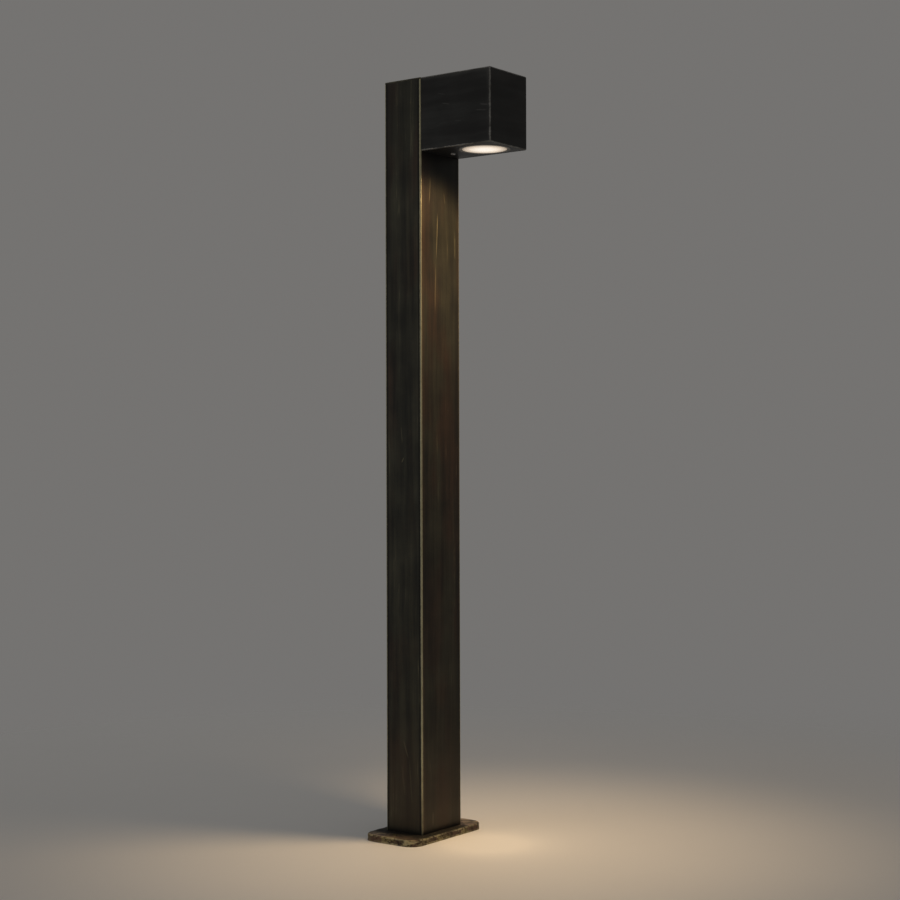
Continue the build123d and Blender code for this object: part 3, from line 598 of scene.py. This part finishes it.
lens_low, lens_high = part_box("glass_lens")
lens_centre = [(a + b) / 2 for a, b in zip(lens_low, lens_high)]
paint(moulded("fired_ceramic", (0.66, 0.63, 0.56), (0.76, 0.73, 0.66), 0.68, 2600.0), "lampholder")
paint(moulded("lamp_white", (0.70, 0.70, 0.68), (0.78, 0.78, 0.76), 0.32), "lamp_base")
neck_low, neck_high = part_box("lamp_base")
bowl = faceted_bowl(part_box("lamp_reflector"), neck_r=(neck_high[0] - neck_low[0]) / 2)
bowl.data.materials.append(reflector())
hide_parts("lamp_reflector")
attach(bowl, "lamp")
disc_glows = [(6 * MM, (1.0, 0.90, 0.72)), (16 * MM, (1.0, 0.78, 0.52)),
              (24 * MM, (0.62, 0.40, 0.22))]
paint(lit_glass("lamp_disc", lens_centre, disc_glows, strength=2.0), "lamp_lens")


# ---------------------------------------------------------------- the head
# A die-cast box, open at the back, hung on the bracket and held by one screw from below. It has
# the post's patina, brushed across, and its edges are rubbed grey with small nicks.

head_look = dict(
    post_look, black=(0.006, 0.006, 0.006), dark=(0.0215, 0.0210, 0.0202),
    red_brown=(0.036, 0.033, 0.031), olive=(0.034, 0.034, 0.032), browns=0.40, edge_tint_and_sheen=0.0,
    glint=(0.15, 0.145, 0.135), glints=0.12, haze=0.13, calm_top=0.0, low_warmth=0.0, darkening=0.0,
    head_shadow=0.0, edge=2.0 * MM, ragged=1.5, rub_low=0.35, rub_high=0.90, rub_foot=1.0,
    worn_low=(0.20, 0.195, 0.18), worn_high=(0.40, 0.39, 0.36), metal=0.55, gloss=0.24)
head_marks = [
    ("left", (63, 961), (78, 958.5), 1.1, 0.40),
    ("left", (56, 975), (71, 972), 1.0, 0.25),
    ("left", (124, 954), (139, 951), 1.3, 0.45),
    ("left", (116, 947.5), (138, 945), 1.0, 0.35),
    ("left", (84, 936), (97, 935), 1.1, 0.18),
]
along_the_head = (12.0, 12.0, 95.0)
paint(brushed_bronze("brushed_bronze_head", along_the_head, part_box("head_housing"), (2, 1, 1), 50.0,
                     head_look, head_marks), "head_housing")


# ---------------------------------------------------------------- glass and trim ring
# The glass is pressed and frosted, and sits in the ring. The ring is turned from bar, threaded
# outside, and screws up into the head's floor by about five turns.

lens_glows = [
    (0.0, (1.0, 0.94, 0.85)), (11 * MM, (0.98, 0.88, 0.76)), (19 * MM, (0.80, 0.67, 0.54)),
    (25 * MM, (0.50, 0.40, 0.30)), (29.4 * MM, (0.20, 0.145, 0.10)),
]
paint(lit_glass("lens_glass", lens_centre, lens_glows, strength=0.84), "glass_lens")


def threaded_ring(low, high, centre):
    """A thin flange, and a barrel with a real screw thread that runs round it about five times."""
    pitch, flange, ridge, run_in = 1.5 * MM, 1.6 * MM, 0.5 * MM, 0.8 * MM
    outer_r = (high[0] - low[0]) / 2
    root_r, bore_r, lip_r = outer_r - 2.1 * MM, outer_r - 3.3 * MM, outer_r - 4.5 * MM
    sides, rows, crest_width, flank_slope = 180, 48, 1.6, 4.6
    base, shoulder, top = low[2], low[2] + flange, high[2]
    inner = [(bore_r + 0.3 * MM, top), (bore_r, top - 0.3 * MM), (bore_r, shoulder + 0.02 * MM),
             (bore_r - 0.02 * MM, shoulder), (lip_r, shoulder), (lip_r, base + 0.5 * MM),
             (lip_r + 0.15 * MM, base + 0.15 * MM), (lip_r + 0.5 * MM, base)]
    rim = [(outer_r - 0.7 * MM, base), (outer_r - 0.25 * MM, base + 0.1 * MM),
           (outer_r, base + 0.4 * MM), (outer_r, shoulder - 0.2 * MM),
           (outer_r - 0.2 * MM, shoulder), (root_r, shoulder)]
    thread = [(None, shoulder + (top - shoulder) * row / rows) for row in range(rows + 1)]
    form = bmesh.new()
    rings = []
    for side in range(sides):
        angle = 2 * math.pi * side / sides
        ring = []
        for radius, z in inner + rim + thread:
            if radius is None:
                on_turn = ((z - shoulder) / pitch - side / sides) % 1.0
                crest = min(max(crest_width - abs(on_turn - 0.5) * flank_slope, 0.0), 1.0)
                fade = min(1.0, (z - shoulder) / run_in, (top - z) / run_in)
                radius = root_r + ridge * crest * max(fade, 0.0)
            ring.append(form.verts.new((centre[0] + radius * math.cos(angle),
                                        centre[1] + radius * math.sin(angle), z)))
        rings.append(ring)
    joined(form, rings)
    bmesh.ops.remove_doubles(form, verts=form.verts, dist=1e-7)
    bmesh.ops.recalc_face_normals(form, faces=form.faces)
    threaded = finished(form, "threaded_ring", True)
    threaded.data.set_sharp_from_angle(angle=math.radians(38))
    return threaded


ring_look = dict(head_look, dark=(0.14, 0.135, 0.125), red_brown=(0.30, 0.28, 0.25),
                 olive=(0.31, 0.30, 0.27), edge=0.6 * MM, haze=0.0, gloss=0.5)
ring_box, round_the_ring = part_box("lens_ring"), (60.0, 60.0, 300.0)
ring_finish = brushed_bronze("turned_bronze", round_the_ring, ring_box, (1, 1, 1), 60.0, ring_look)
trim_ring = threaded_ring(*ring_box, lens_centre)
trim_ring.data.materials.append(ring_finish)
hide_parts("lens_ring")
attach(trim_ring, "trim_ring")


# ---------------------------------------------------------------- the studio
# A pale floor that fades out into a grey surround, two large soft lights, and the lamp's own
# light, which hangs on the glass and comes down with it.

def fading_floor():
    """Pale floor, opaque round the foot and clear at its outer edge."""
    material, shader, place = new_finish("pale_floor")
    pale, paler = (0.80, 0.79, 0.77), (0.84, 0.83, 0.81)
    away = place.node("ShaderNodeVectorMath", {"operation": "LENGTH"}, {0: place}, 1)
    feed(shader, Base_Color=place.cloud(3, 3, 0.5, 70.0).mixed(pale, paler), Roughness=0.75,
         Alpha=1.0 - away.step(0.55, 1.5))
    return material


floor_drop = -0.2 * MM
bpy.ops.mesh.primitive_circle_add(vertices=96, radius=1.6, fill_type="NGON",
                                  location=(0, 0, floor_drop))
floor = bpy.context.object
floor.name = "floor"
floor.data.materials.append(fading_floor())

grey = (0.176, 0.171, 0.165, 1.0)
world = bpy.data.worlds.new("surround")
world.use_nodes = True
world.node_tree.nodes["Background"].inputs["Color"].default_value = grey
bpy.context.scene.world = world
bpy.context.scene.view_settings.view_transform = "Standard"


def soft_light(name, place, size, power):
    """A square area light at a place, turned to face the middle of the post."""
    panel = bpy.data.lights.new(name, "AREA")
    panel.size = size
    panel.energy = power
    panel.color = (0.98, 0.99, 1.0)
    light = bpy.data.objects.new(name, panel)
    light.location = place
    towards_post = Vector((0, 0, 0.5)) - Vector(place)
    light.rotation_euler = towards_post.to_track_quat("-Z", "Y").to_euler()
    bpy.context.scene.collection.objects.link(light)


soft_light("studio_left", (-1.6, -3.4, 0.9), size=2.2, power=8.0)
soft_light("studio_back", (-2.4, 2.6, 1.5), size=2.2, power=4.5)


def lamp_beam(name, opening, power, colour):
    """Part of the lamp's own light: it leaves the glass downwards and moves with it."""
    beam = bpy.data.lights.new(name, "SPOT")
    beam.spot_size = math.radians(opening)
    beam.spot_blend = 1.0
    beam.shadow_soft_size = 26 * MM
    beam.energy = power
    beam.color = colour
    light = bpy.data.objects.new(name, beam)
    light.location = (lens_centre[0], lens_centre[1], lens_low[2] - 1 * MM)
    light.parent = frame["bodies"]["glass_unit"]
    bpy.context.scene.collection.objects.link(light)


lamp_beam("lamp_beam", 76, 17.0, (1.0, 0.71, 0.41))
lamp_beam("lamp_spill", 154, 5.4, (1.0, 0.68, 0.36))

azimuth, tilt, roll = math.radians(36.71), math.radians(0.19), math.radians(-0.17)
stand = Vector((1.4248, -1.8506, 0.5045))
forward = Vector((-math.sin(azimuth) * math.cos(tilt), math.cos(azimuth) * math.cos(tilt),
                  math.sin(tilt)))
level = Vector((math.cos(azimuth), math.sin(azimuth), 0))
upward = level.cross(forward)
across = level * math.cos(roll) + upward * math.sin(roll)
upright = upward * math.cos(roll) - level * math.sin(roll)
optics = bpy.data.cameras.new("camera")
optics.lens = 69.9
optics.sensor_width = 36.0
camera = bpy.data.objects.new("camera", optics)
facing = Matrix((across, upright, -forward)).transposed().to_4x4()
camera.matrix_world = Matrix.Translation(stand) @ facing
bpy.context.scene.collection.objects.link(camera)
bpy.context.scene.camera = camera
